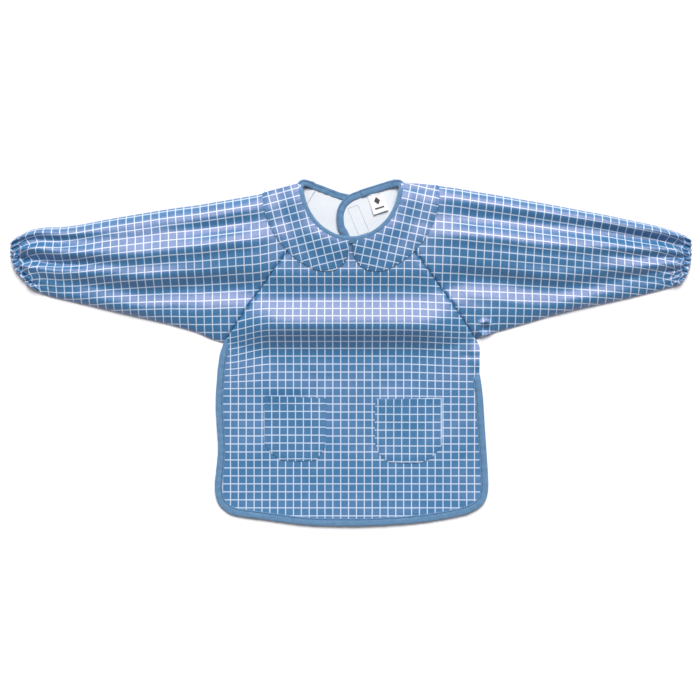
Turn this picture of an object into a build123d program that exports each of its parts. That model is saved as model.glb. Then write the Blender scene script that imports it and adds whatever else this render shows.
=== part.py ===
from build123d import *
import math
import os

os.makedirs("parts", exist_ok=True)

# A child's long-sleeved painting smock, lying on its back with the front uppermost.
# X runs along the sleeves, Y from hem to neck, Z up from the table. The origin is under
# the middle of the outline, on the table. "left" is the -X side.

# ---- overall sizes
SLEEVE_SPAN = 852.0  # cuff edge to cuff edge
BODY_LENGTH = 436.0  # back neck edge to hem
BODY_WIDTH = 342.0  # over the side bindings
CHEST_RISE = 23.0  # how far the front stands off the back at the chest

SIDE_FOLD = 26.0  # the side binding comes out this far below the underarm
HEM_CORNER = 44.0
HEM_DIP = 8.0  # the hem's ends sit this much higher than its middle

# ---- cloth
FABRIC = 1.2
BASE = 0.8  # underside of the front where it lies flat
BINDING_WIDTH = 9.0
BINDING_WALL = 0.7
BINDING_OVERHANG = 1.5  # binding past the raw edge that it covers

# ---- neck and collar
NECK_WIDTH = 128.0
NECK_DEPTH = 72.5  # neck point down to the front neckline
NECK_POINT_DROP = 6.0  # neck point below the back neck edge
COLLAR_REACH = 47.0  # collar width over the shoulder
COLLAR_FRONT = 42.0  # collar depth at the front
COLLAR_GAP = 5.0  # between the two collars at the middle
COLLAR_CORNER = 24.0
COLLAR_PLY = 0.9
COLLAR_LIFT = 0.4  # air under each collar ply
FLIP_MARGIN = 8.0  # flip line outside the neckline's widest bulge
RAGLAN_NECK_ANGLE = 41.0  # where the front seam meets the neckline, below the neck point

# ---- sleeves
ARM_DEPTH = 204.0  # underarm below the back neck edge
UNDERARM_INSET = 11.0  # underarm inside the body's widest line
SHOULDER_TIP = 52.0  # shoulder tip outside the neck point
SHOULDER_TIP_DROP = 20.0
CUFF_WIDTH = 57.0
CUFF_MID_DROP = 103.5  # middle of the cuff below the back neck edge
CUFF_RUFFLE = 14.0  # cuff edge to the gathered line
CUFF_FLARE = 35.0  # cuff edge to where the sleeve is full again
SLEEVE_LOW_WIDTH = 81.0  # sleeve width where it is full again
SLEEVE_RISE = 18.0
CUFF_RISE = 15.0
ELASTIC_WIDTH = 8.0
ELASTIC_THICK = 1.4
FOLD_BOTTOM = 90.0  # fold line outside the underarm, along X
FOLD_ANGLE = 52.0  # fold line from the X axis
FOLD_GAP = 1.0

# ---- back flaps
BACK_NECK_REACH = 42.0  # back seam at the neck, from the middle
BACK_NECK_DIP = 22.0  # middle of the back neck below the back neck edge
FLAP_OVERLAP = {"left": 40.0, "right": 14.0}  # how far each flap passes the middle
FLAP_Z = {"left": 0.9, "right": 4.1}  # the right flap lies on the left one
FLAP_PLY = 1.0
FLAP_GAP = 0.8
PAD_WIDTH = 16.0
PAD_LENGTH = 38.0
PAD_THICK = 0.9
PAD_TILT = 18.0
PAD_DROP = 60.0  # middle of the pads below the back neck edge
LABEL_WIDTH = 19.0
LABEL_LENGTH = 24.0
LABEL_THICK = 0.4
LABEL_TILT = 11.0

# ---- pockets
POCKET_WIDTH = 82.0
POCKET_HEIGHT = 83.0
POCKET_SPACING = 144.0  # middle to middle
POCKET_HEM_GAP = 79.0  # pocket bottom above the hem
POCKET_CORNER = 21.0
POCKET_SEAM = 5.0
POCKET_SLACK = 0.8  # space inside the flat pocket

# ---- worked out from the sizes above
top = BODY_LENGTH / 2
hem = -top + BINDING_OVERHANG
raw_half = BODY_WIDTH / 2 - BINDING_OVERHANG
neck_y = top - NECK_POINT_DROP
underarm_x = BODY_WIDTH / 2 - UNDERARM_INSET
underarm_y = top - ARM_DEPTH
tip_x = NECK_WIDTH / 2 + SHOULDER_TIP
tip_y = top - SHOULDER_TIP_DROP
cuff_x = SLEEVE_SPAN / 2
cuff_y = top - CUFF_MID_DROP
full_x = cuff_x - CUFF_FLARE
gather_x = cuff_x - CUFF_RUFFLE
raw_neck = BINDING_WIDTH / 2 - BINDING_OVERHANG  # raw neck edge inside the seam line
seam_angle = math.radians(RAGLAN_NECK_ANGLE)
chest_start = underarm_y - 44.0  # the front starts to rise here at the middle
side_y = underarm_y - 65.0  # the side has its full width from here down
SKY = 60.0  # taller than everything


def upper_edge(x):
    """Y of the sleeve's upper fold."""
    slope = (cuff_y + SLEEVE_LOW_WIDTH / 2 - tip_y) / (full_x - tip_x)
    return tip_y + slope * (x - tip_x)


def mound_sections():
    """(X, lower Y, upper Y, rise) of the mound that chest and sleeves make, from the middle out."""
    return [
        (0.0, chest_start, neck_y + 13.0, CHEST_RISE),
        (NECK_WIDTH / 2, chest_start + 10.0, neck_y, CHEST_RISE),
        (tip_x, underarm_y - 22.0, tip_y, CHEST_RISE),
        (underarm_x, underarm_y, upper_edge(underarm_x), CHEST_RISE - 1.0),
        (full_x, cuff_y - SLEEVE_LOW_WIDTH / 2, cuff_y + SLEEVE_LOW_WIDTH / 2, SLEEVE_RISE),
        (gather_x, cuff_y - CUFF_WIDTH / 2 + 2.0, cuff_y + CUFF_WIDTH / 2 + 2.0, CUFF_RISE),
        (cuff_x, cuff_y - CUFF_WIDTH / 2, cuff_y + CUFF_WIDTH / 2, CUFF_RISE),
    ]


def below_skin(lift):
    """Everything between the table and the cloth's underside raised by lift."""
    sections = mound_sections()
    mirrored = [(-x, low, high, rise) for x, low, high, rise in reversed(sections[1:])]
    floor = -5.0
    start, end = -top - 30.0, top + 30.0
    with BuildPart() as block:
        for x, low, high, rise in mirrored + sections:
            flat = BASE + lift
            dome = [
                (low + (high - low) * t / 8, flat + rise * math.sin(math.pi * t / 8))
                for t in range(9)
            ]
            with BuildSketch(Plane.YZ.offset(x)):
                with BuildLine():
                    Line((start, flat), dome[0])
                    Spline(*dome)
                    Line(dome[-1], (end, flat))
                    Polyline((end, flat), (end, floor), (start, floor), (start, flat))
                make_face()
        loft(ruled=True)
    return block.part


def skin(low, high):
    """The layer of space from low to high above the cloth's underside."""
    with BuildPart() as layer:
        add(below_skin(high))
        add(below_skin(low), mode=Mode.SUBTRACT)
    return layer.part


def save(piece, name):
    piece.part.label = name
    pieces[name] = piece.part
    export_step(piece.part, f"parts/{name}.step")


def plan_plane(x, y, degrees):
    """A vertical plane through (x, y) whose trace on the table runs at this angle."""
    a = math.radians(degrees)
    return Plane(
        origin=(x, y, 0),
        x_dir=(math.cos(a), math.sin(a), 0),
        z_dir=(math.sin(a), -math.cos(a), 0),
    )


def neck_point(angle, inset):
    """A point of the neck ellipse, its radii made smaller by inset."""
    return (
        (NECK_WIDTH / 2 - inset) * math.cos(angle),
        neck_y - (NECK_DEPTH - inset) * math.sin(angle),
    )


pieces = {}
cloth = skin(0.0, FABRIC)
binding_layer = skin(-BINDING_WALL, FABRIC + BINDING_WALL)
raglan_neck = neck_point(seam_angle, raw_neck)
raglan_middle = (
    (underarm_x + raglan_neck[0]) / 2 - 3.0,
    (underarm_y + raglan_neck[1]) / 2 + 9.0,
)
back_neck = (BACK_NECK_REACH, top - 9.0)
back_seam_angle = math.degrees(
    math.atan2(back_neck[1] - underarm_y, back_neck[0] - underarm_x)
)


def skirt_edge():
    """The side and the hem for x >= 0, from the underarm to the hem's middle."""
    Line((underarm_x, underarm_y), (raw_half, side_y))
    Line((raw_half, side_y), (raw_half, hem + HEM_DIP))
    ThreePointArc((raw_half, hem + HEM_DIP), (raw_half / 2, hem + HEM_DIP / 4), (0, hem))


def front_outline():
    """Half of the front's raw edge, for x >= 0, from the neck's middle to the hem's middle."""
    EllipticalCenterArc(
        (0, neck_y),
        NECK_WIDTH / 2 - raw_neck,
        NECK_DEPTH - raw_neck,
        start_angle=-90,
        arc_size=90 - RAGLAN_NECK_ANGLE,
    )
    ThreePointArc(raglan_neck, raglan_middle, (underarm_x, underarm_y))
    skirt_edge()


def hem_corners(vertex):
    """The two outer ends of the hem."""
    return abs(vertex.X) > raw_half - 1.0 and vertex.Y < hem + HEM_DIP + 1.0


# ---- front panel: one layer of coated cloth from the neckline to the hem
with BuildPart() as front_panel:
    with BuildSketch() as front_plan:
        with BuildLine():
            front_outline()
            mirror(about=Plane.YZ)
        make_face()
        fillet(front_plan.vertices().filter_by(hem_corners), radius=HEM_CORNER)
    extrude(amount=SKY)
    add(cloth, mode=Mode.INTERSECT)
save(front_panel, "front_panel")


# ---- sleeves: cut in one with the shoulder, folded flat into an upper and a lower layer
def sleeve_edges():
    """The sleeve's folds and cuff on the +X side, from the shoulder tip to the underarm."""
    Polyline(
        (tip_x, tip_y),
        (full_x, cuff_y + SLEEVE_LOW_WIDTH / 2),
        (gather_x, cuff_y + CUFF_WIDTH / 2 + 2.0),
        (cuff_x, cuff_y + CUFF_WIDTH / 2),
        (cuff_x, cuff_y - CUFF_WIDTH / 2),
        (gather_x, cuff_y - CUFF_WIDTH / 2 + 2.0),
        (full_x, cuff_y - SLEEVE_LOW_WIDTH / 2),
        (underarm_x, underarm_y),
    )


neck_side = neck_point(0, raw_neck)
with BuildPart() as whole_sleeve:
    with BuildSketch():
        with BuildLine():
            sleeve_edges()
            ThreePointArc((underarm_x, underarm_y), raglan_middle, raglan_neck)
            EllipticalCenterArc(
                (0, neck_y),
                NECK_WIDTH / 2 - raw_neck,
                NECK_DEPTH - raw_neck,
                start_angle=-RAGLAN_NECK_ANGLE,
                arc_size=RAGLAN_NECK_ANGLE,
            )
            Line(neck_side, (tip_x, tip_y))
        make_face()
    extrude(amount=SKY)
    add(cloth, mode=Mode.INTERSECT)
    with BuildSketch():
        with BuildLine():
            sleeve_edges()
            Polyline((underarm_x, underarm_y), back_neck, neck_side, (tip_x, tip_y))
        make_face()
    extrude(amount=FABRIC)

hands = {"left": -1, "right": 1}
sleeves = {1: whole_sleeve.part, -1: mirror(whole_sleeve.part, about=Plane.YZ)}
fold_at = (underarm_x + FOLD_BOTTOM, underarm_y + FOLD_BOTTOM * 0.27)
for hand, side in hands.items():
    fold = plan_plane(side * fold_at[0], fold_at[1], 90 + side * (90 - FOLD_ANGLE))
    body_side = Keep.BOTTOM if side > 0 else Keep.TOP
    cuff_side = Keep.TOP if side > 0 else Keep.BOTTOM
    with BuildPart() as shoulder:
        add(sleeves[side])
        split(bisect_by=fold.offset(-side * FOLD_GAP / 2), keep=body_side)
    save(shoulder, f"sleeve_{hand}_shoulder")
    with BuildPart() as arm:
        add(sleeves[side])
        split(bisect_by=fold.offset(side * FOLD_GAP / 2), keep=cuff_side)
    save(arm, f"sleeve_{hand}_arm")


# ---- cuff elastics: flat loops against the inside of the gathered line
def cuff_core(side, width, shrink):
    """A block that fills the cuff at the gathered line, smaller by shrink all round."""
    with BuildPart() as block:
        with BuildSketch(Plane.XY.offset(FABRIC + shrink)):
            with Locations((side * (gather_x - ELASTIC_WIDTH / 2), cuff_y + 2.0)):
                Rectangle(width, CUFF_WIDTH - 12.0 - 2 * shrink)
        extrude(amount=SKY)
        add(below_skin(-shrink), mode=Mode.INTERSECT)
    return block.part


for hand, side in hands.items():
    with BuildPart() as elastic:
        add(cuff_core(side, ELASTIC_WIDTH, 0.0))
        add(cuff_core(side, 2 * ELASTIC_WIDTH, ELASTIC_THICK), mode=Mode.SUBTRACT)
    save(elastic, f"cuff_elastic_{hand}")


# ---- neck binding: folded over the raw neckline of the front and both sleeves
with BuildPart() as neck_binding:
    with BuildSketch():
        with Locations((0, neck_y)):
            Ellipse(NECK_WIDTH / 2 + BINDING_WIDTH / 2, NECK_DEPTH + BINDING_WIDTH / 2)
            Ellipse(
                NECK_WIDTH / 2 - BINDING_WIDTH / 2,
                NECK_DEPTH - BINDING_WIDTH / 2,
                mode=Mode.SUBTRACT,
            )
        with Locations((0, 0)):
            Rectangle(BODY_WIDTH, BODY_LENGTH, mode=Mode.INTERSECT)
    extrude(amount=SKY)
    add(binding_layer, mode=Mode.INTERSECT)
    add(pieces["front_panel"], mode=Mode.SUBTRACT)
    add(pieces["sleeve_left_shoulder"], mode=Mode.SUBTRACT)
    add(pieces["sleeve_right_shoulder"], mode=Mode.SUBTRACT)
save(neck_binding, "neck_binding_front")

# ---- hem binding: one strip down the left side, along the hem and up the right side
with BuildSketch() as skirt_plan:
    with BuildLine():
        skirt_edge()
        Line((0, underarm_y), (underarm_x, underarm_y))
        mirror(about=Plane.YZ)
    make_face()
    fillet(skirt_plan.vertices().filter_by(hem_corners), radius=HEM_CORNER)

with BuildPart() as hem_binding:
    with BuildSketch():
        add(offset(skirt_plan.sketch, amount=BINDING_OVERHANG, mode=Mode.PRIVATE))
        inner_edge = BINDING_OVERHANG - BINDING_WIDTH
        add(offset(skirt_plan.sketch, amount=inner_edge, mode=Mode.PRIVATE), mode=Mode.SUBTRACT)
        with Locations((0, underarm_y - SIDE_FOLD - BODY_LENGTH / 2)):
            Rectangle(2 * BODY_WIDTH, BODY_LENGTH, mode=Mode.INTERSECT)
    extrude(amount=SKY)
    add(binding_layer, mode=Mode.INTERSECT)
    add(pieces["front_panel"], mode=Mode.SUBTRACT)
save(hem_binding, "hem_binding")


# ---- collars: two plies each, that turn up along a straight line, and the stand that stays
def collar_plan(side):
    """One collar's plan: a band round the neckline, its front corner rounded."""
    with BuildSketch() as plan:
        with Locations((0, neck_y)):
            Ellipse(NECK_WIDTH / 2 + COLLAR_REACH, NECK_DEPTH + COLLAR_FRONT)
            Ellipse(
                NECK_WIDTH / 2 + BINDING_WIDTH / 2,
                NECK_DEPTH + BINDING_WIDTH / 2,
                mode=Mode.SUBTRACT,
            )
        with Locations((side * (COLLAR_GAP / 2 + BODY_WIDTH), neck_y - 2.0 - BODY_LENGTH)):
            Rectangle(2 * BODY_WIDTH, 2 * BODY_LENGTH, mode=Mode.INTERSECT)
        fillet(plan.vertices().sort_by(Axis.Y)[0], radius=COLLAR_CORNER)
    return plan.sketch


chord_angle = math.degrees(math.atan2(NECK_DEPTH, NECK_WIDTH / 2))
chord = math.hypot(NECK_DEPTH, NECK_WIDTH / 2)
bulge = (math.sqrt(2) - 1) * NECK_DEPTH * NECK_WIDTH / 2 / chord + FLIP_MARGIN
flip_at = (
    NECK_WIDTH / 4 + bulge * math.sin(math.radians(chord_angle)),
    neck_y - NECK_DEPTH / 2 - bulge * math.cos(math.radians(chord_angle)),
)
collar_lift = FABRIC + BINDING_WALL + COLLAR_LIFT
for hand, side in hands.items():
    flip = plan_plane(side * flip_at[0], flip_at[1], 90 - side * (90 - chord_angle))
    outside = Keep.TOP if side > 0 else Keep.BOTTOM
    inside = Keep.BOTTOM if side > 0 else Keep.TOP
    for ply, lift in (("under", collar_lift), ("top", collar_lift + COLLAR_PLY)):
        with BuildPart() as collar:
            extrude(collar_plan(side), amount=SKY)
            add(skin(lift, lift + COLLAR_PLY), mode=Mode.INTERSECT)
            split(bisect_by=flip.offset(side * FOLD_GAP / 2), keep=outside)
        save(collar, f"collar_{hand}_{ply}")
    with BuildPart() as stand:
        extrude(collar_plan(side), amount=SKY)
        add(skin(collar_lift, collar_lift + 2 * COLLAR_PLY), mode=Mode.INTERSECT)
        split(bisect_by=flip.offset(-side * FOLD_GAP / 2), keep=inside)
    save(stand, f"collar_{hand}_stand")


# ---- patch pockets: sewn down on three sides, open at the top
def pocket_plan(side, inset):
    """A pocket's outline with cut bottom corners, or its inside past the seams."""
    with BuildSketch() as plan:
        middle = -top + POCKET_HEM_GAP + POCKET_HEIGHT / 2
        with Locations((side * POCKET_SPACING / 2, middle)):
            Rectangle(POCKET_WIDTH, POCKET_HEIGHT)
        chamfer(plan.vertices().group_by(Axis.Y)[0], length=POCKET_CORNER)
        fillet(plan.vertices().sort_by(Axis.Y)[:4], radius=POCKET_CORNER / 2)
        if inset:
            offset(amount=-inset, mode=Mode.REPLACE)
            with Locations((side * POCKET_SPACING / 2, middle + POCKET_HEIGHT / 2)):
                Rectangle(POCKET_WIDTH - 2 * inset, 3 * inset)
    return plan.sketch


for hand, side in hands.items():
    with BuildPart() as pocket_space:
        extrude(pocket_plan(side, POCKET_SEAM), amount=SKY)
        add(skin(FABRIC, FABRIC + POCKET_SLACK), mode=Mode.INTERSECT)
    with BuildPart() as pocket:
        extrude(pocket_plan(side, 0.0), amount=SKY)
        add(skin(FABRIC, 2 * FABRIC + POCKET_SLACK), mode=Mode.INTERSECT)
        add(pocket_space.part, mode=Mode.SUBTRACT)
    save(pocket, f"pocket_{hand}")


# ---- back flaps: each hangs from its shoulder seam, and the right one lies on the left one
def flap_plan(side, overlap, inset):
    """A back flap from its shoulder seam to its free edge, that edge moved in by inset."""
    along = 0.08 + inset / 200.0
    end = (
        underarm_x - along * (underarm_x - back_neck[0]),
        underarm_y + along * (back_neck[1] - underarm_y),
    )
    start = (back_neck[0] + inset / 2, back_neck[1] - inset)
    corner = (inset - overlap, top - BACK_NECK_DIP - 6.0 - inset)
    turn = (2.0 + inset - overlap, top - BACK_NECK_DIP - 40.0)
    neck_middle = ((start[0] + corner[0]) / 2, (start[1] + corner[1]) / 2 - 1.5)
    hollow = (underarm_x * 0.27 + 0.7 * inset, underarm_y + 32.0 + 0.7 * inset)
    with BuildSketch() as plan:
        with BuildLine():
            ThreePointArc(start, neck_middle, corner)
            Line(corner, turn)
            ThreePointArc(turn, hollow, end)
            Line(end, start)
        make_face()
        fillet(plan.vertices().sort_by_distance(corner)[0], radius=11.0 - inset)
    return plan.sketch if side > 0 else mirror(plan.sketch, about=Plane.YZ)


for hand, side in hands.items():
    seam = plan_plane(side * underarm_x, underarm_y, 90 - side * (90 - back_seam_angle))
    inward = Keep.BOTTOM if side > 0 else Keep.TOP
    overlap = FLAP_OVERLAP[hand]
    low = FLAP_Z[hand]
    with BuildPart() as flap:
        with BuildSketch(Plane.XY.offset(low)):
            add(flap_plan(side, overlap, 0.0))
        extrude(amount=FLAP_PLY)
        split(bisect_by=seam.offset(-side * FLAP_GAP), keep=inward)
    save(flap, f"back_flap_{hand}")
    with BuildPart() as edge:
        with BuildSketch(Plane.XY.offset(low - BINDING_WALL)):
            add(flap_plan(side, overlap, -BINDING_OVERHANG))
            inner_edge = BINDING_WIDTH - BINDING_OVERHANG
            add(flap_plan(side, overlap, inner_edge), mode=Mode.SUBTRACT)
        extrude(amount=FLAP_PLY + 2 * BINDING_WALL)
        split(bisect_by=seam.offset(-side * FLAP_GAP), keep=inward)
        add(flap.part, mode=Mode.SUBTRACT)
    save(edge, f"back_binding_{hand}")

# ---- hook-and-loop closing: the loop pad on the left flap, the hook pad under the right one
pad_z = {"loop_pad": FLAP_Z["left"] + FLAP_PLY, "hook_pad": FLAP_Z["right"] - PAD_THICK}
for name, low in pad_z.items():
    with BuildPart() as pad:
        with BuildSketch(Plane.XY.offset(low)):
            with Locations(Location((10.0, top - PAD_DROP, 0), (0, 0, PAD_TILT))):
                RectangleRounded(PAD_WIDTH, PAD_LENGTH, 2.0)
        extrude(amount=PAD_THICK)
    save(pad, name)

# ---- neck label: sewn to the right flap along its top edge
label_x = BACK_NECK_REACH * 0.7
label_y = top - 20.0
label_z = FLAP_Z["right"] + FLAP_PLY + BINDING_WALL + 0.1
with BuildPart() as label:
    with BuildSketch(Plane.XY.offset(label_z)):
        with Locations(Location((label_x, label_y, 0), (0, 0, LABEL_TILT))):
            with Locations((0, -LABEL_LENGTH / 2)):
                Rectangle(LABEL_WIDTH, LABEL_LENGTH)
    extrude(amount=LABEL_THICK)
save(label, "neck_label")
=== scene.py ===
# %% [markdown]
# # A child's painting smock, laid flat
# The smock is coated cloth with a windowpane check: a front, two raglan sleeves, a round
# collar in two halves, two patch pockets, and a back in two flaps. The CAD frame holds
# every part as a plain solid and says how the sleeves, collars, flaps and label turn.
# Those solids could only be coloured, and cloth needs folds, so each step below makes one
# part of the garment as a mesh of its own; the pieces that lie on one body are given to it.

import math

import bpy
import numpy as np
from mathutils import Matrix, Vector, noise


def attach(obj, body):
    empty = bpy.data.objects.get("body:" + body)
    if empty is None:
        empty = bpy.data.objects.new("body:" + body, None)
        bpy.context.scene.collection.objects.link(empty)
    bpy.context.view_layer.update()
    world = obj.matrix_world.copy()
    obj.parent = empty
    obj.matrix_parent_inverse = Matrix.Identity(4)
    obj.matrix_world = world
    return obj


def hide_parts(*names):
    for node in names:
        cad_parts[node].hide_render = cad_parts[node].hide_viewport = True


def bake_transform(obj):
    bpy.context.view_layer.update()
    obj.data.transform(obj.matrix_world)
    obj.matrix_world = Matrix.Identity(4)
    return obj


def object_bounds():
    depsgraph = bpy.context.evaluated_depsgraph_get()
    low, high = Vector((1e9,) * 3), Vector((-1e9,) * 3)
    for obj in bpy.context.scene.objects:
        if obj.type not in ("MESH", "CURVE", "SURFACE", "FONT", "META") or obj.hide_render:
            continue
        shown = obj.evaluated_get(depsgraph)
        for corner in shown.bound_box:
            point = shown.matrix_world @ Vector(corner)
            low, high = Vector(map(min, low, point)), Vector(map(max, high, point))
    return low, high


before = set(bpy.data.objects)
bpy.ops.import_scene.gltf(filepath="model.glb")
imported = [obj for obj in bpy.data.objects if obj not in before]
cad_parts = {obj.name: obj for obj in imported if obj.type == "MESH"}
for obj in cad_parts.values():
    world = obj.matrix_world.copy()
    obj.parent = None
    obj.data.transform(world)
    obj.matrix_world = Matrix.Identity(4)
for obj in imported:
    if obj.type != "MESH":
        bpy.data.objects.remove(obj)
cad_low, cad_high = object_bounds()
MM = 0.001  # the plan is drawn in millimetres and the scene is in metres
span = (cad_high[0] - cad_low[0]) / MM
length = (cad_high[1] - cad_low[1]) / MM
print(f"CAD box: {span:.0f} x {length:.0f} mm")

# %% [markdown]
# ## Plan of the sleeves
# A real smock is cut from flat pattern pieces and sewn. Cut pieces could be draped by a
# cloth simulation, but this one lies still on a table, so it is drawn as it lies, the way
# a pattern cutter draws: an edge is a list of a few points in millimetres. For a sleeve
# they give y against the distance from the middle. Side -1 is the sleeve on the -X side.

# %% Edges of the sleeves
SLEEVE_TOP = {
    -1: [(0, 226), (64, 212.5), (91, 205.6), (116, 198.5), (141, 194.4), (191, 185.6), (229, 180.6),
         (304, 168), (341, 160.6), (365, 157.5), (388, 157.5), (405, 153.5), (420, 145), (430, 138)],
    1: [(0, 226), (64, 214), (96, 211.5), (134, 206.5), (159, 202), (184, 198), (246, 187),
        (321, 173), (384, 159.5), (409, 152), (430, 142)],
}
SLEEVE_LOW = {
    -1: [(0, 2), (64, 3), (116, 5), (160, 12), (179, 18), (191, 24.4), (229, 35.6), (304, 53),
         (341, 62), (379, 70.5), (404, 81), (430, 90)],
    1: [(0, 2), (64, 3), (116, 7), (162, 18), (179, 24.4), (209, 33), (246, 44.4), (284, 54),
        (321, 62), (359, 70.6), (384, 77), (409, 84), (430, 92)],
}
print("points on the sleeves' upper edges:", {side: len(line) for side, line in SLEEVE_TOP.items()})

# %% [markdown]
# ## Plan of the body
# The neckline is half an ellipse, the raglan seams run from it to the underarms, and the
# sides run down to a rounded hem. Both sides differ a little, as cloth that was laid by
# hand does. `CHEST` is the height of the cloth down the middle line, against y.

# %% Edges of the body
CHEST = [(-230, 2), (-30, 2.2), (-6, 3), (4, 5), (14, 11), (26, 20.5), (34, 24), (44, 22.5), (62, 15)]
CHEST = CHEST + [(70, 14), (80, 15), (98, 21.5), (118, 22.5), (150, 21.5), (185, 17.5), (212, 11), (230, 8)]
NECK = (64.0, 72.5)  # half width and depth of the neckline's ellipse
NECK_Y = 212.0
RAGLAN = [(46, 160), (62, 143), (84, 119), (105, 91), (126, 62), (146, 33), (160, 12)]
HEM = {
    -1: [(156, 22), (161, 10), (165, -4), (167, -18), (168, -29), (170, -59), (169.5, -80),
         (167, -119), (168.5, -140), (171, -165), (170, -180), (165, -192), (154, -201.5),
         (141, -205.6), (116, -209), (91, -212.5), (66, -215.6), (40, -217.6), (0, -218)],
    1: [(158, -12), (161, -24), (163.5, -38), (166, -59), (168, -90), (170, -119), (172, -150),
        (172.5, -169), (170, -183), (164, -192), (152, -200), (134, -205.6), (96, -212.5), (59, -215.8),
        (25, -217.6), (0, -218)],
}
FOLDED_SIDE = {-1: [(162, 4)], 1: [(162, 6), (161.5, -10), (161.5, -24)]}  # above the side binding
print("points on the hem:", sum(len(line) for line in HEM.values()))

# %% [markdown]
# ## Soft lines
# Cloth has no sharp corners in plan. A spline could round them, but it can overshoot, so
# each line is read through a small moving average, and kept as a table for speed.

# %% Soft lines and distances
def soft_line(points, reach=9.0):
    """A line of listed points made into a quick, soft-cornered function."""
    px, py = zip(*points)
    start = math.floor(px[0])
    marks = np.arange(start, math.ceil(px[-1]) + 2, 1.0)
    offsets = np.linspace(-reach, reach, 7)
    weights = np.array([1, 3, 5, 6, 5, 3, 1]) / 24
    table = sum(w * np.interp(marks + o, px, py) for o, w in zip(offsets, weights)).tolist()

    def look(x):
        place = min(max(x - start, 0.0), len(table) - 1.001)
        k = int(place)
        return table[k] + (table[k + 1] - table[k]) * (place - k)

    return look


top_edge = {side: soft_line(points) for side, points in SLEEVE_TOP.items()}
low_edge = {side: soft_line(points) for side, points in SLEEVE_LOW.items()}
chest_line = soft_line(CHEST, 7.0)


def smoothstep(a, b, x):
    t = min(1.0, max(0.0, (x - a) / (b - a)))
    return t * t * (3 - 2 * t)


def polyline_distance(points, x, y):
    """Distance from (x, y) to a polyline."""
    best = 1e9
    for (ax, ay), (bx, by) in zip(points, points[1:]):
        ux, uy = bx - ax, by - ay
        t = min(1, max(0, ((x - ax) * ux + (y - ay) * uy) / (ux * ux + uy * uy)))
        best = min(best, math.hypot(x - ax - t * ux, y - ay - t * uy))
    return best


print("chest height on the middle line:", round(chest_line(90), 1), "mm")

# %% [markdown]
# ## Long folds in the sleeves
# A sleeve that lies flat keeps air, and its cloth falls in long folds that run from the
# shoulder to the gathered cuff. They could be sculpted, but drawn ones can be measured and
# changed. Each list holds crests and hollows, as the distance below the upper fold and
# the height: by the shoulder, in the middle and by the cuff. The heights in between are
# blended along the sleeve.

# %% Folds of the sleeves
FOLDS_AT = (130, 270, 400)  # distance from the middle at which each list below holds
PLEATS = 9  # small pleats that the elastic makes, across the top layer
PLEAT_HEIGHT = 1.5
WRINKLE = 0.9
SHOULDER_FOLDS = {
    -1: [(0, 2), (20, 18), (33, 13), (58, 25), (74, 20), (84, 19), (118, 6), (141, 11.5), (190, 2)],
    1: [(0, 2), (17, 16), (35, 11), (62, 24), (76, 20), (90, 18), (120, 6.5), (143, 12), (197, 2)],
}
MIDDLE_FOLDS = {
    -1: [(0, 2), (20, 16), (27, 17), (52, 24), (66, 19.5), (77, 20), (101, 8.5), (116, 10.5), (130, 2)],
    1: [(0, 2), (12, 15), (24, 10), (50, 22.5), (62, 19), (78, 17.5), (104, 8), (117, 10.5), (130, 2)],
}
CUFF_FOLDS = {
    -1: [(0, 2), (7, 15), (14, 9), (25, 18), (38, 5.5), (46, 15), (60, 9), (66, 6.5), (74, 2)],
    1: [(0, 2), (8, 16), (16, 5.5), (28, 17), (36, 11), (45, 16), (54, 8.5), (63, 7), (74, 2)],
}


def sleeve_height(ax, down, width, side):
    """Height of a sleeve's top layer, so far along and so far below its upper fold."""
    shoulder_at, middle_at, cuff_at = FOLDS_AT
    if ax < middle_at:
        first, second = SHOULDER_FOLDS[side], MIDDLE_FOLDS[side]
        t = smoothstep(shoulder_at, middle_at, ax)
    else:
        first, second = MIDDLE_FOLDS[side], CUFF_FOLDS[side]
        t = smoothstep(middle_at, cuff_at, ax)
    marks = [(1 - t) * a[0] + t * b[0] for a, b in zip(first, second)]
    heights = [(1 - t) * a[1] + t * b[1] for a, b in zip(first, second)]
    place = min(0.9999, max(0.0, down / width)) * marks[-1]
    k = max(i for i in range(len(marks) - 1) if marks[i] <= place)
    share = (place - marks[k]) / (marks[k + 1] - marks[k])
    if k == 0:
        ease = math.sin(share * math.pi / 2) ** 0.7
    elif k == len(marks) - 2:
        ease = 1 - math.cos(share * math.pi / 2) ** 0.75
    else:
        ease = (1 - math.cos(share * math.pi)) / 2
    height = heights[k] + (heights[k + 1] - heights[k]) * ease
    rim = math.sin(math.pi * place / marks[-1]) ** 0.6
    near_cuff = smoothstep(385, 416, ax)
    pleats = math.cos(2 * math.pi * PLEATS * place / marks[-1] + 0.6)
    height += PLEAT_HEIGHT * rim * near_cuff * pleats
    height += WRINKLE * rim * noise.noise(Vector((ax / 75, down / 11, 3.0 * side)))
    return height


print("sleeve height at mid sleeve:", round(sleeve_height(270, 50, 130, 1), 1), "mm")

# %% [markdown]
# ## The height of the cloth
# The chest and both sleeves are one long mound that falls to the table at its edges. If
# each part had its own height, the seams would gape, so every piece on top asks the one
# function `top_height`. The raglan seams, which pull the cloth down, and the twisted knot of
# cloth at one underarm are worked into it.

# %% Height of the top layer
SEAM_DEPTH = 2.9
LEAST_HEIGHT = 1.4  # room for the lining side above the table
KNOT = (168, 30)  # where the cloth is twisted into a small ring under one arm


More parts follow.
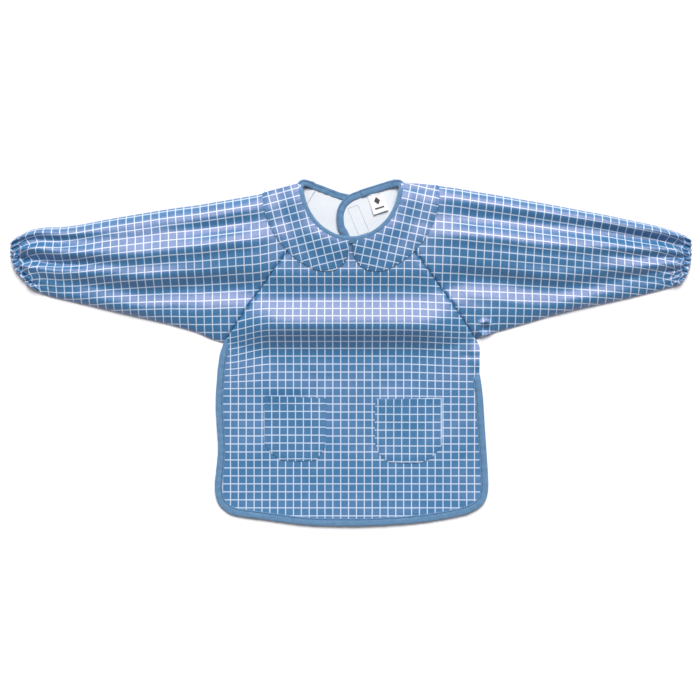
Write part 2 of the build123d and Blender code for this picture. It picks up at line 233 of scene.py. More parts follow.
def top_height(x, y, seams=True):
    """Top layer's height in mm above the table, at a place given in mm."""
    side = 1 if x >= 0 else -1
    ax = abs(x)
    high, low = top_edge[side](ax), low_edge[side](ax)
    sleeve = sleeve_height(ax, high - y, high - low, side)
    to_sleeve = smoothstep(80, 150, ax)
    chest = chest_line(y)
    chest += 1.4 * noise.noise(Vector((x / 60, y / 26, 5.0))) * smoothstep(-10, 30, y)
    height = chest * (1 - to_sleeve) + sleeve * to_sleeve
    if y < low + 40:
        flat = 2.6 + 1.5 * noise.noise(Vector((x / 62, y / 48, 0.0)))
        flat += 0.4 * noise.noise(Vector((x / 20, y / 24, 4.0)))
        height = max(height, flat)
    height += 0.25 * noise.noise(Vector((x / 20, y / 14, 9.0)))
    seam = polyline_distance(RAGLAN, ax, y)
    if seams and seam < 9:
        pucker = 1 + 0.25 * math.cos(y * 0.55) * (1 if side > 0 else 0.5)
        height -= SEAM_DEPTH * pucker * math.exp(-((seam / 1.5) ** 2)) * min(1, max(0, (ax - 44) / 10))
    knot = math.hypot(x - KNOT[0], y - KNOT[1])
    if knot < 25:
        height += 3.4 * math.exp(-(((knot - 8.5) / 2.8) ** 2)) - 2.6 * math.exp(-((knot / 5) ** 2))
    crease = math.hypot((x - 152) / 12, (y + 4) / 2.2)
    if crease < 3:
        height -= 1.6 * math.exp(-(crease**2))
    return max(height, LEAST_HEIGHT)


def mouth_dip(x, y):
    """The front sinks a little where the left pocket's mouth stands open."""
    across = smoothstep(-112, -100, x) * (1 - smoothstep(-72, -50, x))
    return 2.2 * across * smoothstep(46, 57, -y) * (1 - smoothstep(64, 84, -y))


def front_height(x, y):
    """Height of the front panel; it is folded over its own binding beside one underarm."""
    fold = 2.6 * smoothstep(148, 156, x) * smoothstep(24, 14, -y) * (1 - smoothstep(-4, 12, y))
    return max(LEAST_HEIGHT, top_height(x, y) - mouth_dip(x, y)) + fold


print("height at the chest:", round(top_height(0, 90), 1), "mm")

# %% [markdown]
# ## Grids that can be bent
# Tubes, tapes and threads are all a strip of cloth. `grid_piece` adds one with the
# primitive operator. `bend` then gives each vertex its place, and each corner its spot on
# the printed check. Operators act on what is selected, so `clear_selection` or `only`
# always comes first.

# %% Selecting, adding and bending
def clear_selection():
    bpy.ops.object.select_all(action="DESELECT")


def only(piece):
    clear_selection()
    piece.select_set(True)
    bpy.context.view_layer.objects.active = piece


def grid_piece(name, columns, rows):
    """A flat unit grid, columns x rows cells, ready to be bent."""
    clear_selection()
    bpy.ops.mesh.primitive_grid_add(x_subdivisions=columns, y_subdivisions=rows, size=1)
    piece = bpy.context.active_object
    piece.name = piece.data.name = name
    return piece


def bend(piece, place, check, weld=True):
    """Move each vertex to place(u, v) in mm; check(u, v) is its spot on the printed check."""
    mesh = piece.data
    layer = mesh.uv_layers.active or mesh.uv_layers.new(name="UVMap")
    flat = [(v.co.x + 0.5, v.co.y + 0.5) for v in mesh.vertices]
    spots = [check(u, v) for u, v in flat]
    for loop in mesh.loops:
        layer.data[loop.index].uv = spots[loop.vertex_index]
    for vertex, (u, v) in zip(mesh.vertices, flat):
        vertex.co = Vector(place(u, v)) * MM
    if weld:
        only(piece)
        bpy.ops.object.mode_set(mode="EDIT")
        bpy.ops.mesh.select_all(action="SELECT")
        bpy.ops.mesh.remove_doubles(threshold=0.02 * MM)
        bpy.ops.mesh.normals_make_consistent(inside=False)
        bpy.ops.object.mode_set(mode="OBJECT")
    return piece


def apply_modifier(piece, kind, **settings):
    only(piece)
    modifier = piece.modifiers.new(kind.title(), kind)
    for key, value in settings.items():
        setattr(modifier, key, value)
    bpy.ops.object.modifier_apply(modifier=modifier.name)


def smooth(piece):
    only(piece)
    bpy.ops.object.shade_smooth()


# %% [markdown]
# ## Lines to follow
# Edges, seams and tapes run along smooth lines. Blender's own curves could hold them,
# but the points are needed as numbers, so a short Catmull-Rom spline is enough, and
# `evenly` spaces its points so that stitches come out equal.

# %% Lines and outlines
def spline(points, steps):
    """A smooth line through given points."""
    line = []
    padded = [points[0]] + list(points) + [points[-1]]
    for i in range(1, len(padded) - 2):
        p0, p1, p2, p3 = (Vector(p) for p in padded[i - 1 : i + 3])
        for k in range(steps):
            t = k / steps
            turn = (2 * p0 - 5 * p1 + 4 * p2 - p3) * t**2
            twist = (3 * p1 - p0 - 3 * p2 + p3) * t**3
            line.append(0.5 * (2 * p1 + (p2 - p0) * t + turn + twist))
    line.append(Vector(points[-1]))
    return line


def evenly(line, spacing):
    """Points along a line at an even spacing."""
    lengths = [0.0]
    for a, b in zip(line, line[1:]):
        lengths.append(lengths[-1] + (b - a).length)
    count = max(2, round(lengths[-1] / spacing) + 1)
    marks = np.linspace(0, lengths[-1], count)
    axes = [np.interp(marks, lengths, [p[k] for p in line]) for k in range(3)]
    return [Vector(p) for p in zip(*axes)]


def inside(outline, x, y):
    """Is (x, y) inside the closed outline?"""
    hit = False
    for (ax, ay), (bx, by) in zip(outline, outline[1:] + outline[:1]):
        if (ay > y) != (by > y) and x < ax + (y - ay) * (bx - ax) / (by - ay):
            hit = not hit
    return hit


def nearest(outline, x, y):
    """The outline's point nearest to (x, y)."""
    best, spot = 1e9, (x, y)
    for (ax, ay), (bx, by) in zip(outline, outline[1:] + outline[:1]):
        ux, uy = bx - ax, by - ay
        t = min(1, max(0, ((x - ax) * ux + (y - ay) * uy) / (ux * ux + uy * uy + 1e-9)))
        px, py = ax + t * ux, ay + t * uy
        d = (px - x) ** 2 + (py - y) ** 2
        if d < best:
            best, spot = d, (px, py)
    return spot


print("a spline through 3 points:", len(spline([(0, 0, 0), (5, 2, 0), (9, 0, 0)], 4)), "points")

# %% [markdown]
# ## Cutting cloth to an outline
# The front, flaps, collars and pockets are single sheets of any outline. A filled curve
# would give long thin triangles that fold badly. So a square grid is laid over the outline,
# its outer faces are deleted, and the rim that is left is drawn onto the outline, like
# cutting cloth. A Solidify modifier then gives it the thickness of cloth and lining.

# %% Cutting and thickening
def cut_cloth(name, outline, cell, height, check):
    """Cloth of any outline: a grid, trimmed to the outline, its rim drawn onto it."""
    xs, ys = zip(*outline)
    x0, x1, y0, y1 = min(xs), max(xs), min(ys), max(ys)
    columns, rows = math.ceil((x1 - x0) / cell) + 2, math.ceil((y1 - y0) / cell) + 2
    piece = grid_piece(name, columns, rows)
    mesh = piece.data
    width, depth = columns * cell, rows * cell
    mid_x, mid_y = (x0 + x1) / 2, (y0 + y1) / 2
    for vertex in mesh.vertices:
        vertex.co = (mid_x + vertex.co.x * width, mid_y + vertex.co.y * depth, 0)
    only(piece)
    bpy.ops.object.mode_set(mode="EDIT")
    bpy.ops.mesh.select_mode(type="FACE")
    bpy.ops.mesh.select_all(action="DESELECT")
    bpy.ops.object.mode_set(mode="OBJECT")
    for face in mesh.polygons:
        face.select = not inside(outline, face.center.x, face.center.y)
    bpy.ops.object.mode_set(mode="EDIT")
    bpy.ops.mesh.delete(type="FACE")
    bpy.ops.object.mode_set(mode="OBJECT")
    uses = {}
    for face in mesh.polygons:
        for key in face.edge_keys:
            uses[key] = uses.get(key, 0) + 1
    rim = {v for key, count in uses.items() if count == 1 for v in key}
    for i in rim:
        x, y = nearest(outline, mesh.vertices[i].co.x, mesh.vertices[i].co.y)
        mesh.vertices[i].co.x, mesh.vertices[i].co.y = x, y
    layer = mesh.uv_layers.active or mesh.uv_layers.new(name="UVMap")
    spots = [check(v.co.x, v.co.y) for v in mesh.vertices]
    for loop in mesh.loops:
        layer.data[loop.index].uv = spots[loop.vertex_index]
    for vertex in mesh.vertices:
        x, y = vertex.co.x, vertex.co.y
        vertex.co = Vector((x, y, height(x, y))) * MM
    return piece


def thicken(piece, thickness, offset=-1.0):
    """Give cloth its thickness: outside first, lining second, rim like the outside."""
    apply_modifier(
        piece, "SOLIDIFY", thickness=thickness * MM, offset=offset, material_offset=1,
        material_offset_rim=0, use_even_offset=False,
    )
    only(piece)
    bpy.ops.object.shade_smooth_by_angle(angle=math.radians(50))


def area_of(piece):
    return sum(face.area for face in piece.data.polygons)


print("solids in the CAD frame:", len(bpy.data.meshes))

# %% [markdown]
# ## Nodes in short
# Every finish is a Principled shader with a few nodes before it. These helpers add and link
# one node each. `line_mask` works the printed lines out from a coordinate, so they stay
# sharp at any distance. An image texture would blur, and a file would have to travel with
# the scene. `weave_bump` adds the fine threads of a plain weave.

# %% Material helpers
def new_material(name):
    material = bpy.data.materials.new(name)
    material.use_nodes = True
    tree = material.node_tree
    return material, tree, tree.nodes["Principled BSDF"]


def node(tree, kind, **settings):
    made = tree.nodes.new(kind)
    for key, value in settings.items():
        setattr(made, key, value)
    return made


def math_node(tree, operation, a, b=None):
    made = node(tree, "ShaderNodeMath", operation=operation)
    for socket, value in zip(made.inputs, (a, b)):
        if value is None:
            continue
        if isinstance(value, (int, float)):
            socket.default_value = value
        else:
            tree.links.new(value, socket)
    return made.outputs[0]


def line_mask(tree, coordinate, half_width, blur):
    """1 on whole numbers of the coordinate, 0 between them."""
    part = math_node(tree, "FRACT", math_node(tree, "ADD", coordinate, 0.5))
    distance = math_node(tree, "ABSOLUTE", math_node(tree, "SUBTRACT", part, 0.5))
    ramp = node(tree, "ShaderNodeMapRange", interpolation_type="SMOOTHSTEP")
    tree.links.new(distance, ramp.inputs["Value"])
    ramp.inputs["From Min"].default_value = half_width + blur
    ramp.inputs["From Max"].default_value = max(0.0, half_width - blur)
    return ramp.outputs[0]


def mix_colour(tree, factor, a, b):
    mix = node(tree, "ShaderNodeMix", data_type="RGBA")
    for socket, value in ((mix.inputs[0], factor), (mix.inputs[6], a), (mix.inputs[7], b)):
        if isinstance(value, (tuple, float, int)):
            socket.default_value = value
        else:
            tree.links.new(value, socket)
    return mix.outputs[2]


def weave_bump(tree, shader, source, scale, strength):
    """Fine plain weave: two crossing waves of threads."""
    waves = []
    for direction in ("X", "Y"):
        wave = node(tree, "ShaderNodeTexWave", wave_type="BANDS", bands_direction=direction)
        wave.inputs["Scale"].default_value = scale
        wave.inputs["Distortion"].default_value = 0.6
        wave.inputs["Detail"].default_value = 1.0
        tree.links.new(source, wave.inputs["Vector"])
        waves.append(wave.outputs["Fac"])
    both = math_node(tree, "ADD", waves[0], waves[1])
    bump = node(tree, "ShaderNodeBump")
    bump.inputs["Strength"].default_value = strength
    bump.inputs["Distance"].default_value = 0.0002
    tree.links.new(both, bump.inputs["Height"])
    tree.links.new(bump.outputs[0], shader.inputs["Normal"])


print("one unit of a UV map is one square of the check")

# %% [markdown]
# ## The checked cloth
# The real cloth is woven cotton with pale lines each way, under a clear coating that
# shines lilac where it faces the light. The check could be modelled as ribbons, but lines
# worked out from the UV map follow every fold. They sit on whole numbers. Two blues are
# mixed by noise, because dyed yarn is never even, and the coating is the shader's own
# specular, tinted lilac.

# %% Check cloth
BLUE = (0.028, 0.200, 0.410, 1)
DEEP_BLUE = (0.014, 0.145, 0.305, 1)
LINE = (0.58, 0.70, 0.83, 1)
HALF_LINE = 0.062  # half the width of a printed line, as a share of a square
LINE_BLUR = 0.018
COATING_TINT = (1.0, 0.74, 0.90, 1)
COATING_SHEEN = (0.72, 0.66, 1.0, 1)
THREADS = 6.0  # scale of the weave's threads


def make_check_cloth():
    material, tree, shader = new_material("coated_check")
    uv = node(tree, "ShaderNodeUVMap").outputs[0]
    split = node(tree, "ShaderNodeSeparateXYZ")
    tree.links.new(uv, split.inputs[0])
    across = line_mask(tree, split.outputs[0], HALF_LINE, LINE_BLUR)
    down = line_mask(tree, split.outputs[1], HALF_LINE, LINE_BLUR)
    lines = math_node(tree, "MAXIMUM", across, down)
    clouds = node(tree, "ShaderNodeTexNoise")
    clouds.inputs["Scale"].default_value = 0.9
    clouds.inputs["Detail"].default_value = 3.0
    tree.links.new(uv, clouds.inputs["Vector"])
    ground = mix_colour(tree, clouds.outputs["Fac"], DEEP_BLUE, BLUE)
    tree.links.new(mix_colour(tree, lines, ground, LINE), shader.inputs["Base Color"])
    shader.inputs["Roughness"].default_value = 0.37
    shader.inputs["IOR"].default_value = 1.7
    shader.inputs["Specular IOR Level"].default_value = 0.75
    shader.inputs["Specular Tint"].default_value = COATING_TINT
    shader.inputs["Sheen Weight"].default_value = 0.25
    shader.inputs["Sheen Roughness"].default_value = 0.4
    shader.inputs["Sheen Tint"].default_value = COATING_SHEEN
    weave_bump(tree, shader, uv, THREADS, 0.25)
    return material


check_cloth = make_check_cloth()
print("check cloth:", len(check_cloth.node_tree.nodes), "nodes")

# %% [markdown]
# ## The lining
# The inside of the cloth is the uncoated white back of the same weave. It shows in the
# neckline. A flat white would look like paper, so a slow noise and a fainter weave are
# mixed in.

# %% Lining
LINING_SHADE = (0.70, 0.74, 0.77, 1)
LINING_WHITE = (0.80, 0.83, 0.85, 1)


def make_lining():
    material, tree, shader = new_material("white_lining")
    uv = node(tree, "ShaderNodeUVMap").outputs[0]
    clouds = node(tree, "ShaderNodeTexNoise")
    clouds.inputs["Scale"].default_value = 0.5
    tree.links.new(uv, clouds.inputs["Vector"])
    colour = mix_colour(tree, clouds.outputs["Fac"], LINING_SHADE, LINING_WHITE)
    tree.links.new(colour, shader.inputs["Base Color"])
    shader.inputs["Roughness"].default_value = 0.55
    weave_bump(tree, shader, uv, THREADS, 0.15)
    return material


lining = make_lining()
print("lining:", len(lining.node_tree.nodes), "nodes")

# %% [markdown]
# ## The binding
# The raw edges are bound with matt cotton tape cut on the bias. Its threads run at a slant,
# so a diagonal wave makes the bump. The stitched groove is painted darker: painted shade,
# because light doesn't reach it, together with the dark stitching in it. That line could be
# geometry only, but at this size a colour helps the eye. It follows the tape's UV map, where 0 across is
# the groove.

# %% Binding
# the colour of the dark stitching in the tape's groove, and of the painted shade there, where light doesn't
# reach
STITCHING_AND_PAINTED_SHADE = (0.03, 0.08, 0.17, 1)
TAPE_SHADE = (0.070, 0.185, 0.340, 1)
TAPE_BLUE = (0.150, 0.300, 0.475, 1)
COTTON_SHEEN = (0.8, 0.87, 1.0, 1)


def make_binding():
    material, tree, shader = new_material("bias_binding")
    uv = node(tree, "ShaderNodeUVMap").outputs[0]
    clouds = node(tree, "ShaderNodeTexNoise")
    clouds.inputs["Scale"].default_value = 1.2
    clouds.inputs["Detail"].default_value = 4.0
    tree.links.new(uv, clouds.inputs["Vector"])
    cloth = mix_colour(tree, clouds.outputs["Fac"], TAPE_SHADE, TAPE_BLUE)
    split = node(tree, "ShaderNodeSeparateXYZ")
    tree.links.new(uv, split.inputs[0])
    from_groove = math_node(tree, "ABSOLUTE", split.outputs[1])
    # painted shade and stitching: this ramp darkens the tape towards its stitched groove
    thread = node(tree, "ShaderNodeMapRange", interpolation_type="SMOOTHSTEP")
    tree.links.new(from_groove, thread.inputs["Value"])
    thread.inputs["From Min"].default_value = 0.14
    thread.inputs["From Max"].default_value = 0.03
    groove_stitching_and_shade = math_node(tree, "MULTIPLY", thread.outputs[0], 0.75)
    colour = mix_colour(tree, groove_stitching_and_shade, cloth, STITCHING_AND_PAINTED_SHADE)
    tree.links.new(colour, shader.inputs["Base Color"])
    shader.inputs["Roughness"].default_value = 0.78
    shader.inputs["Sheen Weight"].default_value = 0.3
    shader.inputs["Sheen Tint"].default_value = COTTON_SHEEN
    twill = node(tree, "ShaderNodeTexWave", wave_type="BANDS", bands_direction="DIAGONAL")
    twill.inputs["Scale"].default_value = 5.0
    twill.inputs["Distortion"].default_value = 0.4
    tree.links.new(uv, twill.inputs["Vector"])
    bump = node(tree, "ShaderNodeBump")
    bump.inputs["Strength"].default_value = 0.5
    bump.inputs["Distance"].default_value = 0.0003
    tree.links.new(twill.outputs["Fac"], bump.inputs["Height"])
    tree.links.new(bump.outputs[0], shader.inputs["Normal"])
    return material


binding_cloth = make_binding()
print("binding:", len(binding_cloth.node_tree.nodes), "nodes")

# %% [markdown]
# ## Threads, tapes and ink
# The rest are small plain things: sewing threads, the fuzzy closing pads, the elastic, the
# label's tape and its ink. They differ only in colour and roughness, so one function
# makes them all, with a fine grain on Object coordinates.

# %% Plain finishes
def make_plain(name, colour, roughness):
    """One colour with a fine grain."""
    material, tree, shader = new_material(name)
    place = node(tree, "ShaderNodeTexCoord").outputs["Object"]
    grain = node(tree, "ShaderNodeTexNoise")
    grain.inputs["Scale"].default_value = 900.0
    grain.inputs["Detail"].default_value = 2.0
    tree.links.new(place, grain.inputs["Vector"])
    dark = tuple(c * 0.86 for c in colour) + (1,)
    mixed = mix_colour(tree, grain.outputs["Fac"], dark, tuple(colour) + (1,))
    tree.links.new(mixed, shader.inputs["Base Color"])
    shader.inputs["Roughness"].default_value = roughness
    bump = node(tree, "ShaderNodeBump")
    bump.inputs["Strength"].default_value = 0.4
    bump.inputs["Distance"].default_value = 0.0002
    tree.links.new(grain.outputs["Fac"], bump.inputs["Height"])
    tree.links.new(bump.outputs[0], shader.inputs["Normal"])
    return material


blue_thread = make_plain("blue_thread", (0.16, 0.30, 0.50), 0.6)
white_thread = make_plain("white_thread", (0.62, 0.68, 0.76), 0.6)
grey_thread = make_plain("grey_thread", (0.30, 0.34, 0.40), 0.6)
hook_tape = make_plain("hook_tape", (0.80, 0.83, 0.86), 0.85)
elastic_web = make_plain("elastic_web", (0.80, 0.80, 0.78), 0.8)
label_tape = make_plain("label_tape", (0.90, 0.90, 0.90), 0.5)
label_ink = make_plain("label_ink", (0.05, 0.05, 0.06), 0.7)


def dress(piece, *materials):
    """Give a piece its materials: the outside first, then the inside."""
    piece.data.materials.clear()
    for material in materials:
        piece.data.materials.append(material)


print("finishes:", [material.name for material in bpy.data.materials if material.users == 0])

# %% [markdown]
# ## Where the printed check falls
# Unwrapping the meshes would put the lines anywhere, so each piece gets a function that
# turns a place in the plan into a place on the check. Where the real rows crowd or sag,
# so do these.

# %% Check coordinates
CHECK_PITCH = 9.9
SLEEVE_PITCH = (10.3, 10.0)  # along a sleeve and across it
ROWS = [(-230, -23.45), (-4.5, -1), (5.25, 0), (14, 1), (28, 3), (36.5, 4), (64, 7), (74.5, 8), (230, 23.6)]


def front_check(x, y):
    """The front's check: even columns, and rows as listed, which sag beside the underarms."""
    sag = 3.0 * smoothstep(60, 150, x) * smoothstep(-80, -10, y)
    sag += 11.0 * smoothstep(98, 166, -x) * smoothstep(-55, 0, y) * (1 - smoothstep(30, 75, y))
    return ((x + 161.4) / CHECK_PITCH, float(np.interp(y + sag, *zip(*ROWS))))


def sleeve_check(x, y):
    """A sleeve's check: rows follow the upper fold, and columns lean and crowd at the cuff."""
    squeeze = 0.4 * math.exp(-((math.hypot(x - KNOT[0], y - KNOT[1]) / 9) ** 2))
    x, y = x + (x - KNOT[0]) * squeeze, y + (y - KNOT[1]) * squeeze
    side = 1 if x >= 0 else -1
    ax = abs(x)
    edge = top_edge[side](ax)
    span_here = 121 - 25 * (ax - 166) / 200
    down = (edge - y) * 120 / span_here
    lean = 6.0 * (1 - math.exp(-max(0.0, down) / 45))
    gather = 2.5 * smoothstep(370, 420, ax) * math.cos(2 * math.pi * down / 27)
    along, across = SLEEVE_PITCH
    return ((ax + lean + gather) / along * side + 0.4, -down / across + 0.35)


def slanted_check(degrees, spot, pitch=9.95):
    """Check turned by some degrees, with a crossing of lines at the spot."""
    c, s = math.cos(math.radians(degrees)), math.sin(math.radians(degrees))

    def check(x, y):
        dx, dy = x - spot[0], y - spot[1]
        return ((dx * c + dy * s) / pitch, (dy * c - dx * s) / pitch)

    return check


print("squares across 340 mm of the front:", round(340 / CHECK_PITCH, 1))

# %% [markdown]
# ## Outline of the front panel
# The front is one layer of cloth. Its outline is the neckline, the two raglan seams, the
# underarms, the sides and the hem, each taken from the plan, so they can't drift apart.

# %% Outline of the front
def ellipse_point(degrees, grow=0.0):
    """A point on the neckline, counted from the +X side down to the middle."""
    angle = math.radians(degrees)
    return ((NECK[0] + grow) * math.cos(angle), NECK_Y - (NECK[1] + grow) * math.sin(angle))


def inset(points, amount):
    """The same open line of (x, y), moved to its left by an amount."""
    moved = []
    for i, (x, y) in enumerate(points):
        ax, ay = points[max(0, i - 1)]
        bx, by = points[min(len(points) - 1, i + 1)]
        size = math.hypot(bx - ax, by - ay)
        moved.append((x - (by - ay) / size * amount, y + (bx - ax) / size * amount))
    return moved


def plan_area(outline):
    """Area inside a closed outline in mm, given in square metres."""
    pairs = zip(outline, outline[1:] + outline[:1])
    return abs(sum(ax * by - bx * ay for (ax, ay), (bx, by) in pairs)) / 2 * MM * MM


def front_outline():
    half = {}
    for side in (1, -1):
        down = [ellipse_point(90 - a, -2) for a in range(0, 50, 4)] + RAGLAN[1:]
        hem = inset([(-x, y) for x, y in HEM[side]], 4.0)
        top_of_hem = FOLDED_SIDE[side][-1][1] - 6
        half[side] = down + FOLDED_SIDE[side] + [(-x, y) for x, y in hem if y < top_of_hem]
    return half[1] + [(-x, y) for x, y in reversed(half[-1][1:-1])]


front_line = front_outline()
print("front panel:", len(front_line), "points,", round(plan_area(front_line), 3), "square metres")

# %% [markdown]
# ## Front panel
# The grid is fine enough for the chest's folds, and the sheet is thin: coated cotton is
# well under a millimetre thick. Its two materials are the check outside and the lining
# inside.

# %% Front panel
FRONT_CELL = 3.0
BODY_CLOTH = 0.7  # thickness of the front and of the flaps
front = cut_cloth("front_cloth", front_line, FRONT_CELL, front_height, front_check)
dress(front, check_cloth, lining)
thicken(front, BODY_CLOTH)
print("front faces:", len(front.data.polygons))

# %% [markdown]
# ## Where each sleeve runs
# A raglan sleeve is cut in one with its shoulder, and lies as a flattened tube that is open
# at the neck and the cuff. It could be an inflated cylinder, but then its edges would miss
# the plan. So the turn round the tube says how far across the sleeve a cell is. The upper
# half starts on the raglan seam and the lower half on the back seam. Cells get shorter
# towards the cuff, where the gathers are small.

# %% Run of a sleeve
SIDES = {"left": -1, "right": 1}
SEAM_TOP = [ellipse_point(a, -2) for a in range(0, 46, 5)] + RAGLAN[1:]
SEAM_BACK = [(62, 213), (42, 209), (160, 12)]
ROUND = 136  # cells round a sleeve
CUFF_END = 427  # distance from the middle
CUFF_SLANT = {-1: (27.0, 4.5), 1: (13.0, 5.5)}  # how far the end slants back, and how late
CASING = 9.5  # the gathered stitch line, in from the cuff's end
FRILLS = 9  # small puffs between that line and the end
SEAM_GAP = 0.55  # the seam reads as a thin dark line


def seam_start(seam, side, across):
    """x on a seam where the sleeve is this far across, from 0 at its upper fold to 1."""
    line = evenly([Vector((px, py, 0)) for px, py in seam], 2.0)
    shares = [(top_edge[side](p.x) - p.y) / (top_edge[side](p.x) - low_edge[side](p.x)) for p in line]
    shares[0], shares[-1] = 0.0, 1.0
    shares = list(np.maximum.accumulate(shares))
    return np.interp(across, shares, [p.x for p in line]).tolist()


def sleeve_frame(side):
    """A function that says, for a cell of a sleeve's tube, where it lies.

    It gives the distance from the middle, y, whether it is on top, how far it is from the
    cuff's end, and how far out the small puffs of the cuff stand there, from 0 to 1.
    """
    turns = [2 * math.pi * k / ROUND for k in range(ROUND + 1)]
    across_all = [(1 - math.cos(a)) / 2 for a in turns]
    starts = {
        True: [x + SEAM_GAP for x in seam_start(SEAM_TOP, side, across_all)],
        False: seam_start(SEAM_BACK, side, across_all),
    }

    def spot(u, v):
        k = round(v * ROUND)
        across = across_all[k]
        over = 2 * k <= ROUND
        start = starts[over][k]
        amount, power = CUFF_SLANT[side]
        corner = 4.0 * max(0.0, 1 - across / 0.1) ** 2
        frill = abs(math.sin(math.pi * FRILLS * across)) ** 0.7
        end = CUFF_END - amount * across**power - corner + 1.3 * frill
        from_end = (end - start) * (1 - u) ** 1.3
        ax = end - from_end
        high, low = top_edge[side](ax), low_edge[side](ax)
        return ax, high + (low - high) * across, over, from_end, frill

    return spot


print("cells round a sleeve:", ROUND)

# %% [markdown]
# ## Sleeves
# The upper half follows the one height of the cloth, and the lower half lies on the table.
# At the cuff the hem is turned in and stitched, and the elastic inside pulls it into
# small puffs with a thin groove behind them. Modelled threads would be hidden there, so only
# their effect is made.

# %% Sleeves
CUFF_FLOOR = 1.8  # the cloth's height where the cuff's end rolls in
EDGE_FLOOR = 1.2  # the upper half's height at the sleeve's two edges
SLEEVE_CLOTH = 0.5
SLEEVE_CELLS = 160  # along a sleeve


def make_sleeve(side, hand):
    spot = sleeve_frame(side)

    def place(u, v):
        ax, y, over, from_end, frill = spot(u, v)
        if over:
            high = top_height(side * ax, y)
            puff = 3.2 + 6.3 * frill
            z = high + (puff - high) * (1 - smoothstep(CASING - 2, CASING + 9, from_end)) * 0.85
            z -= 3.0 * math.exp(-(((from_end - CASING) / 1.3) ** 2))
            roll_in = min(1.0, 0.3 + 0.7 * math.sqrt(from_end / 3.0))
            z = CUFF_FLOOR + (max(CUFF_FLOOR, z) - CUFF_FLOOR) * roll_in
            at_edge = smoothstep(0, 0.03, v) * smoothstep(0, 0.03, 0.5 - v)
            z = EDGE_FLOOR + (z - EDGE_FLOOR) * at_edge
        else:
            z = 1.0 + 0.3 * noise.noise(Vector((ax / 30, y / 30, 2)))
        return (side * ax, y, z)

    def check(u, v):
        ax, y, over, from_end, frill = spot(u, v)
        return sleeve_check(side * ax, y)

    sleeve = grid_piece(f"sleeve_{hand}_cloth", SLEEVE_CELLS, ROUND)
    bend(sleeve, place, check)
    dress(sleeve, check_cloth, lining)
    thicken(sleeve, SLEEVE_CLOTH)
    return sleeve


sleeves = {hand: make_sleeve(side, hand) for hand, side in SIDES.items()}
for hand, sleeve in sleeves.items():
    print(hand, "sleeve faces:", len(sleeve.data.polygons))

# %% [markdown]
# ## Cuff elastic
# A flat band of elastic lies inside each cuff. It can't be seen, but it turns with the
# sleeve and would be there if the smock were taken apart. It is a short tube that
# runs inside the sleeve's, narrower and lower, so that it never shows through.

# %% Cuff elastic
BAND_FROM, BAND_WIDTH = 0.918, 0.03  # as shares of the sleeve's length
BAND_FLOOR, BAND_ROOF = 1.6, 4.0
BAND_THICKNESS = 0.8


def make_elastic(side, hand):
    spot = sleeve_frame(side)

    def place(u, v):
        ax, y, over, from_end, frill = spot(BAND_FROM + BAND_WIDTH * u, v)
        middle = (top_edge[side](ax) + low_edge[side](ax)) / 2
        flat = middle + (y - middle) * 0.8
        roof = top_height(side * ax, flat)
        z = min(roof - 3.4, BAND_ROOF) if over else BAND_FLOOR
        return (side * ax, flat, max(z, BAND_FLOOR))

    band = grid_piece(f"cuff_elastic_{hand}_band", 6, ROUND)
    bend(band, place, lambda u, v: (u * 0.8, v * 12))
    dress(band, elastic_web)
    thicken(band, BAND_THICKNESS)
    return band


elastics = {hand: make_elastic(side, hand) for hand, side in SIDES.items()}
print("bands:", [band.name for band in elastics.values()])

# %% [markdown]
# ## Back flaps
# The back is open, so that the smock goes on from the front. Two flaps close it, and the
# one on the +X side lies over the other, with the lining uppermost as seen through the
# neckline. They are cut like the front. Each starts at its seam at one level and
# rises to its own, so the two never touch.

# %% Back flaps
FLAP_EDGE = {
    "right": [(42, 209), (24, 203), (12, 199), (0, 194), (-9, 185.6), (-13.5, 174), (-12.5, 158),
              (-5.6, 144), (10, 95), (43, 50), (95, 35), (150, 29.6)],
    "left": [(-42, 207.5), (-29, 202.5), (-14, 197), (2, 193.5), (22, 190), (35, 185), (39, 175),
             (37, 158), (20, 95), (-20, 50), (-90, 34), (-150, 29.6)],
}
FLAP_CELL = 2.2
FLAP_LEVEL = {"right": 5.0, "left": 1.9}
FOLD_SPOT = {"right": (160.0, 14.0), "left": (-160.0, 14.0)}
SEAM_LEVEL = 1.5
FLAP_AWAY = (0.8556, 0.5177)  # from a flap's seam into the flap, as shares of -X and -Y


def flap_height(hand):
    side = SIDES[hand]
    away = Vector((-FLAP_AWAY[0] * side, -FLAP_AWAY[1]))

    def height(x, y):
        far = (Vector((x, y)) - Vector(FOLD_SPOT[hand])).dot(away)
        wave = 0.35 * noise.noise(Vector((x / 24, y / 30, 6.0 * side)))
        return SEAM_LEVEL + (FLAP_LEVEL[hand] - SEAM_LEVEL) * smoothstep(0, 20, far) + wave

    return height


flaps = {}
for hand in SIDES:
    rim = [(p.x, p.y) for p in spline([(x, y, 0) for x, y in FLAP_EDGE[hand]], 4)]
    outline = rim + [FOLD_SPOT[hand]]
    flap = cut_cloth(f"back_{hand}_cloth", outline, FLAP_CELL, flap_height(hand), front_check)
    dress(flap, lining, check_cloth)
    thicken(flap, BODY_CLOTH)
    flaps[hand] = (flap, plan_area(outline))
    print(flap.name, len(flap.data.polygons), "faces")

# %% [markdown]
# ## Collars
# The round collar is in two halves, each of two plies sewn together and turned out. The
# seam inside scallops its outer edge a little. It could be draped on the chest by a
# Shrinkwrap modifier, but the chest's height is already a function, so the collar is that
# height and a little more, and it stands up towards the neckline, as the real one does.

# %% Collars
COLLAR_RIM = [(3, 124), (7.5, 113), (15, 105), (23, 102), (35, 101), (46, 103.5), (59, 110.5), (72.5, 120)]
COLLAR_RIM = COLLAR_RIM + [(89, 138), (97.5, 151), (104, 165), (108.5, 182), (110.5, 197), (110, 210)]
COLLAR_SLANT = {"left": (14.5, (-88.0, 178.4)), "right": (-12.5, (83.5, 156.6))}
COLLAR_CELL = 2.4
COLLAR_PLIES = 1.3
SCALLOP, SCALLOP_LENGTH = 0.45, 12.0
COLLAR_STAND = 4.5  # the collar rises towards the neckline, where it is sewn in


